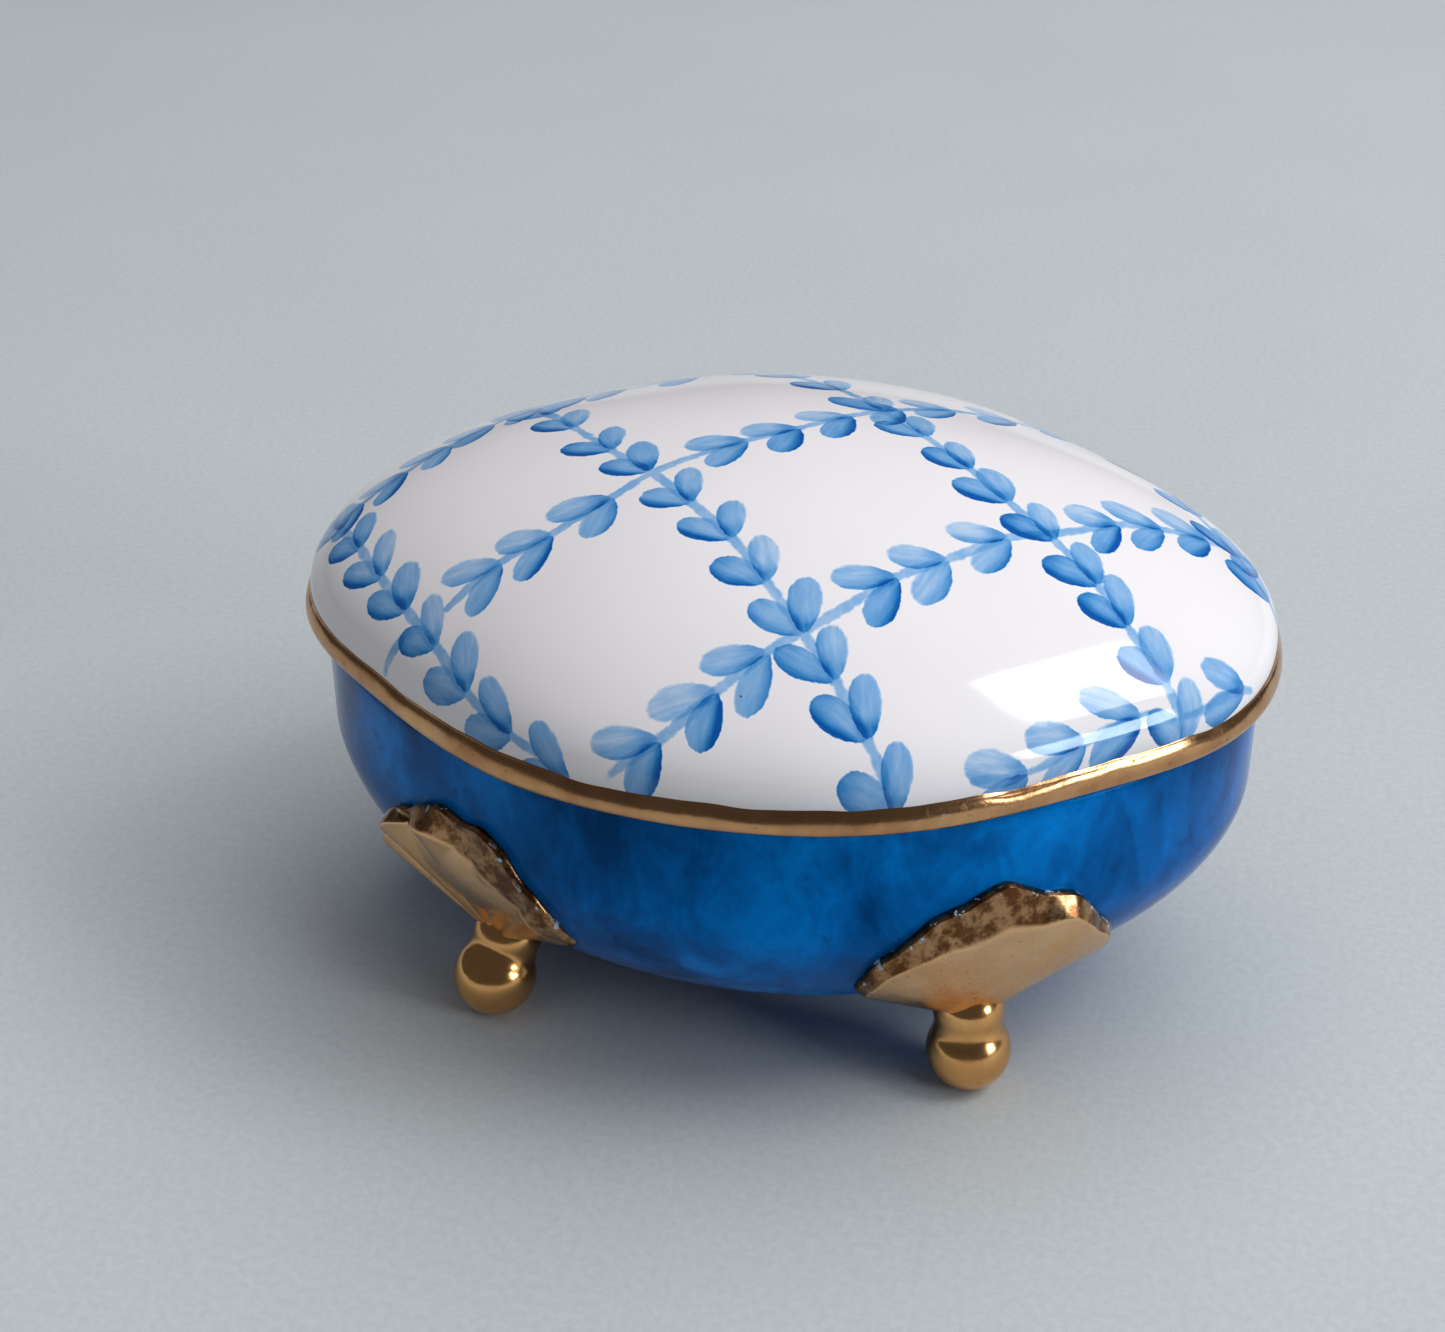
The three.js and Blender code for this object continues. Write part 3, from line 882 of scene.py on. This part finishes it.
def makeFlange():
    low = flangeLow.z
    ease = flangeLook["ease"]
    top = flangeHigh.z + 0.3 * mm
    quarter = [0.0, 0.3, 0.62, 1.0]
    rows = [(flangePlan, 1.0, top), (flangePlan, 1.0, rimHeight), (flangePlan, 1.0, low + ease * 1.6)]
    for share in quarter:
        near, far = quarterTurn(share, ease)
        rows.append((inset(flangePlan, near), 1.0, low + far))
    for share in quarter:
        near, far = quarterTurn(share, ease)
        rows.append((inset(hollowPlan, -far), 1.0, low + near))
    rows += [(hollowPlan, 1.0, low + ease * 1.6), (hollowPlan, 1.0, rimHeight), (hollowPlan, 1.0, top)]
    shares = wallShares(len(rows))
    flange, row, angle = turnedLadder("locatingFlange", shares, flangeLook["turns"], True)
    spots = placeRows(rows, row, angle)
    moveSpots(flange, spots)
    faceOutwards(flange)
    setAttribute(flange, "unglazed", np.clip(1.4 - (spots[:, 2] - low) / ease, 0, 1))
    return flange


flange = makeFlange()
dress(flange, "lid", "white_glaze", whiteGlaze("flangeGlaze", bareFoot=True), "lid_locating_flange")
print("lip and flange made")

# the bowl
bowlLook = {
    "underside": bowlLow.z,
    "floor": 3.2 * mm,
    "across": 3.41,
    "up": 1.72,
    "rings": 60,
    "innerRings": 34,
    "turns": 360,
    "rim": 0.2 * mm,  # the rim stands this much above the CAD's, close under the lid
    "ease": 0.42,  # share of the wall that the rim's rounding takes
    "side": (0.2, 0.4, 0.6, 0.8, 1.0),
    "rimRows": 7,
    "wave": 0.16 * mm,
    "waveReach": 34 * mm,
    "drawIn": 0.1 * mm,
}


def bowlShare(height, underside):
    drop = np.clip((flankHeight - height) / (flankHeight - underside), 0, 1)
    return (1 - drop ** bowlLook["up"]) ** (1 / bowlLook["across"])


def bowlRows(plan, underside, rings, radius):
    def curve(share):
        drop = (1 - share ** bowlLook["across"]) ** (1 / bowlLook["up"])
        return flankHeight - (flankHeight - underside) * drop
    return [(plan, s, curve(s)) for s in evenShares(curve, rings, radius)]


def makeBowl():
    top = bowlHigh.z + bowlLook["rim"]
    ease = bowlWall * bowlLook["ease"]
    side = bowlLook["side"]
    upright = top - ease - flankHeight
    rows = bowlRows(lobedBowl, bowlLook["underside"], bowlLook["rings"], 0.045)
    rows += [(lobedBowl, 1.0, flankHeight + upright * share) for share in side]
    for share in np.linspace(0.14, 1, bowlLook["rimRows"]):
        near, far = quarterTurn(share, ease)
        rows.append((inset(lobedBowl, near), 1.0, top - far))
    for share in np.linspace(0, 1, bowlLook["rimRows"]):
        near, far = quarterTurn(share, ease)
        rows.append((inset(mouthPlan, -far), 1.0, top - near))
    rows += [(mouthPlan, 1.0, flankHeight + upright * share) for share in side[-2::-1]]
    inside = bowlRows(mouthPlan, bowlLook["underside"] + bowlLook["floor"], bowlLook["innerRings"], 0.042)
    rows += inside[::-1]
    bowl, row, angle = turnedLadder("blueBowl", [share for _, share, _ in rows], bowlLook["turns"])
    spots = placeRows(rows, row, angle)
    rim = bowlLook["rings"] + len(side) + bowlLook["rimRows"]
    outside = row < bowlLook["rings"] + len(side) - 1
    out = spots[:, :2] / np.maximum(np.linalg.norm(spots[:, :2], axis=1), 1e-6)[:, None]
    swell = handWaves(spots, 3, bowlLook["wave"], bowlLook["waveReach"]) * outside
    swell *= np.clip((spots[:, 2] - 6 * mm) / (6 * mm), 0, 1)
    spots[:, :2] += out * (swell - bowlLook["drawIn"] * outside)[:, None]
    moveSpots(bowl, spots)
    faceOutwards(bowl)
    setAttribute(bowl, "lining", np.clip((row - rim - 2.5) / 1.5, -1, 1))
    return bowl


bowl = makeBowl()
dress(bowl, "footed_bowl", "blue_glaze", blueGlaze(), "body_bowl")
print("bowl turned")

# the feet: a ball, its neck and the shell bracket above them, made for the back right corner
footLook = {
    "angle": 54.2,  # degrees of the oval
    "setback": 6.25 * mm,
    "ball": 4.31 * mm,
    "neck": 3.6 * mm,
    "crease": 3.2 * mm,
    "blend": 1.3 * mm,  # softness of the hollow between ball and neck
    "flat": 0.16 * mm,
    "turns": 72,
    "wave": 0.05 * mm,
    "waveReach": 12 * mm,
}
shellLook = {
    "spread": 62.0,
    "crown": 3.6 * mm,
    "tip": 1.8 * mm,
    "edge": 0.9 * mm,
    "shoulder": 0.25,  # share of its height taken by the sloping top edge at the crown
    "start": 0.05,
    "behind": 0.9 * mm,  # how far its back reaches into the bowl
    "thin": 0.2 * mm,
    "clear": 0.45 * mm,  # its front stays this far out of the bowl
    "flutes": 5,
    "scallop": 0.6 * mm,
    "across": 112,
    "up": 64,
    "metal": (0.85, 0.53, 0.27),
    "warm": (0.73, 0.41, 0.18),
}
ballHeight = footLook["ball"] - footLook["flat"]
creased = footLook["crease"] ** 2
neckRise = math.sqrt(footLook["ball"] ** 2 - creased) + math.sqrt(footLook["neck"] ** 2 - creased)
shellRoot = ballHeight + neckRise - 0.2 * mm


def footFrame():
    angle = math.radians(footLook["angle"])
    flank, beyond = planSpots(lobedBowl, np.array([angle, angle + 1e-3]), np.ones(2))
    nearby = (beyond - flank) / np.linalg.norm(beyond - flank)
    outward = np.array([nearby[1], -nearby[0]])
    return flank - outward * footLook["setback"], nearby, outward


footPlace, nearby, outward = footFrame()


def beside(along, out):
    return footPlace + np.multiply.outer(out, outward) + np.multiply.outer(along, nearby)


def flankOut(along, height):
    # how far out of the foot's axis the bowl's flank lies
    filled = bowlShare(height, bowlLook["underside"])
    low = np.full(along.shape, -lobedBowl["width"])
    high = np.full(along.shape, lobedBowl["width"])
    for _ in range(32):
        middle = (low + high) / 2
        spot = beside(along, middle)
        angle = np.arctan2(spot[..., 1] / lobedBowl["width"], spot[..., 0] / lobedBowl["length"])
        edge = np.linalg.norm(planSpots(lobedBowl, angle, filled), axis=-1)
        within = np.linalg.norm(spot, axis=-1) < edge
        low = np.where(within, middle, low)
        high = np.where(within, high, middle)
    return low


def shellSurface(across, up, corner):
    swing = across * math.radians(shellLook["spread"])
    crest = np.abs(np.cos(shellLook["flutes"] * math.pi * across / 2))
    drawn = random.Random(corner["seed"])
    ragged = sum(size * np.sin(waves * across + drawn.uniform(0, anyPhase)) for waves, size in
                 ((5, 0.10), (11, 0.10), (19, 0.08), (33, 0.05)))
    lean = corner["lean"]
    crown, outerTip, innerTip = (r * mm for r in corner["reach"])
    towards = np.clip((across - lean) / (1 - lean), 0, 1) ** 1.1
    beyond = np.clip((lean - across) / (1 + lean), 0, 1) ** 1.1
    reach = crown + (innerTip - crown) * towards + (outerTip - crown) * beyond
    reach = reach - shellLook["scallop"] * (1 - crest) + ragged * mm
    shoulder = shellLook["shoulder"] * (0.22 + 0.78 * np.exp(-((across - lean - 0.12) / 0.42) ** 2))
    past = np.clip((up - 1 + shoulder) / shoulder, 0, 1)
    along = reach * up * np.sin(swing)
    height = shellRoot + reach * up * np.cos(swing)
    rimAlong = reach * np.sin(swing)
    rimLevel = shellRoot + reach * np.cos(swing)
    proud = shellLook["crown"] + (shellLook["tip"] - shellLook["crown"]) * np.abs(across)
    rimOut = flankOut(rimAlong, rimLevel) + proud
    start = footLook["neck"] * 0.4 - neckRise * math.sin(math.radians(corner["splay"]))
    swell = start + (rimOut - start) * up
    drop = (proud - shellLook["edge"]) * past ** 1.15
    flute = corner["flutes"] * mm * (1 - crest ** 0.8) * np.clip(up * 1.3, 0, 1) * (1 - past ** 2)
    return along, height, swell - drop - flute, past


def makeShell(name, corner):
    startClean()
    columns, rows = shellLook["across"], shellLook["up"]
    bpy.ops.mesh.primitive_grid_add(x_subdivisions=columns, y_subdivisions=rows, size=2)
    shell = bpy.context.object
    shell.name = name
    shell.data.name = name
    bpy.ops.object.mode_set(mode="EDIT")
    bpy.ops.mesh.select_all(action="SELECT")
    bpy.ops.mesh.extrude_region_move(TRANSFORM_OT_translate={"value": (0, 0, -1)})
    bpy.ops.object.mode_set(mode="OBJECT")
    flat = readSpots(shell)
    across = np.clip(flat[:, 0], -1, 1)
    start = shellLook["start"]
    # rows crowd together towards the rounded edge
    up = start + (1 - start) * np.sin((np.clip(flat[:, 1], -1, 1) + 1) / 2 * math.pi / 2) ** 0.9
    along, height, out, past = shellSurface(across, up, corner)
    back = flat[:, 2] < -0.5
    skin = flankOut(along, height)
    behind = np.minimum(skin - shellLook["behind"], out - shellLook["thin"])
    out = np.where(back, behind, np.maximum(out, skin + shellLook["clear"]))
    plan = beside(along, out)
    moveSpots(shell, np.column_stack([plan, height]))
    faceOutwards(shell)
    setAttribute(shell, "ledge", past * ~back)
    setAttribute(shell, "brink", np.clip((up - 0.965) / 0.03, 0, 1) * (np.abs(across) < 0.93))
    return shell


def makeFoot(name, splay):
    # ball and neck in one profile, with a soft crease between them
    ball, neck = footLook["ball"], footLook["neck"]
    height = np.concatenate([-ball * np.cos(np.linspace(0, math.pi / 2, 15)),
                             np.linspace(0, neckRise + neck * 0.99, 46)[1:]])
    low = np.sqrt(np.maximum(ball ** 2 - height ** 2, 0))
    high = np.sqrt(np.maximum(neck ** 2 - (height - neckRise) ** 2, 0))
    soft = footLook["blend"]
    gap = np.clip(0.5 + 0.5 * (high - low) / soft, 0, 1)
    radius = low * (1 - gap) + high * gap + soft * gap * (1 - gap)
    radius[0] = 0
    radius[-1] = 0
    shares = [r / ball + (0.0 if r == 0 else 0.05) for r in radius]  # only the poles are on the axis
    foot, row, angle = turnedLadder(name, shares, footLook["turns"])
    reach = radius[row]
    spots = np.column_stack([reach * np.cos(angle), reach * np.sin(angle), height[row]])
    splay = math.radians(splay)
    outside = spots[:, :2] @ outward
    aside = spots[:, :2] @ nearby
    # the top leans in towards the bowl
    turned = outside * math.cos(splay) - spots[:, 2] * math.sin(splay)
    up = outside * math.sin(splay) + spots[:, 2] * math.cos(splay)
    plan = beside(aside, turned)
    tall = np.maximum(up + ballHeight, 0)
    moveSpots(foot, np.column_stack([plan, tall]))
    faceOutwards(foot)
    return foot


def mirrored(piece, name, corner):
    startClean()
    piece.select_set(True)
    bpy.context.view_layer.objects.active = piece
    bpy.ops.object.duplicate()
    copy = bpy.context.object
    copy.name = name
    copy.data.name = name
    flipX, flipY = corner["flip"]
    spots = readSpots(copy) * (flipX, flipY, 1)
    pushed = handWaves(spots, corner["seed"], footLook["wave"], footLook["waveReach"])
    pushed *= spots[:, 2] > 1 * mm  # the sole stays flat
    out = np.array([outward[0] * flipX, outward[1] * flipY])
    spots[:, :2] += np.multiply.outer(pushed, out)
    moveSpots(copy, spots)
    faceOutwards(copy)
    return copy


shellGold = gilding("shellGilding", 0.19, 0.8, 1.6, True, shellLook["metal"], shellLook["warm"])
ballGold = gilding("ballGilding", 0.10, 0.35, 0.8)
corners = [  # reach is the crown, the tip round the end of the box and the tip under its long side
    {"title": "FrontLeft", "node": "front_left", "flip": (-1, -1), "splay": 26, "flutes": 1.8, "lean": 0.3,
     "reach": (21.2, 13.9, 17.0), "seed": 41},
    {"title": "FrontRight", "node": "front_right", "flip": (1, -1), "splay": 7, "flutes": 0.18, "lean": 0.0,
     "reach": (20.0, 15.6, 15.2), "seed": 42},
    {"title": "BackLeft", "node": "back_left", "flip": (-1, 1), "splay": 12, "flutes": 0.5, "lean": 0.08,
     "reach": (20.4, 15.6, 15.8), "seed": 43},
    {"title": "BackRight", "node": "back_right", "flip": (1, 1), "splay": 16, "flutes": 0.7, "lean": 0.15,
     "reach": (20.6, 15.6, 16.2), "seed": 44},
]
for corner in corners:
    plain = makeShell("shellMaster", corner)
    shell = mirrored(plain, "shell" + corner["title"], corner)
    dress(shell, "footed_bowl", "gilding", shellGold, "shell_bracket_" + corner["node"])
    ball = makeFoot("ballMaster", corner["splay"])
    foot = mirrored(ball, "ball" + corner["title"], corner)
    dress(foot, "footed_bowl", "gilding", ballGold, "ball_foot_" + corner["node"])
    bpy.data.objects.remove(plain)
    bpy.data.objects.remove(ball)
print("four feet set")
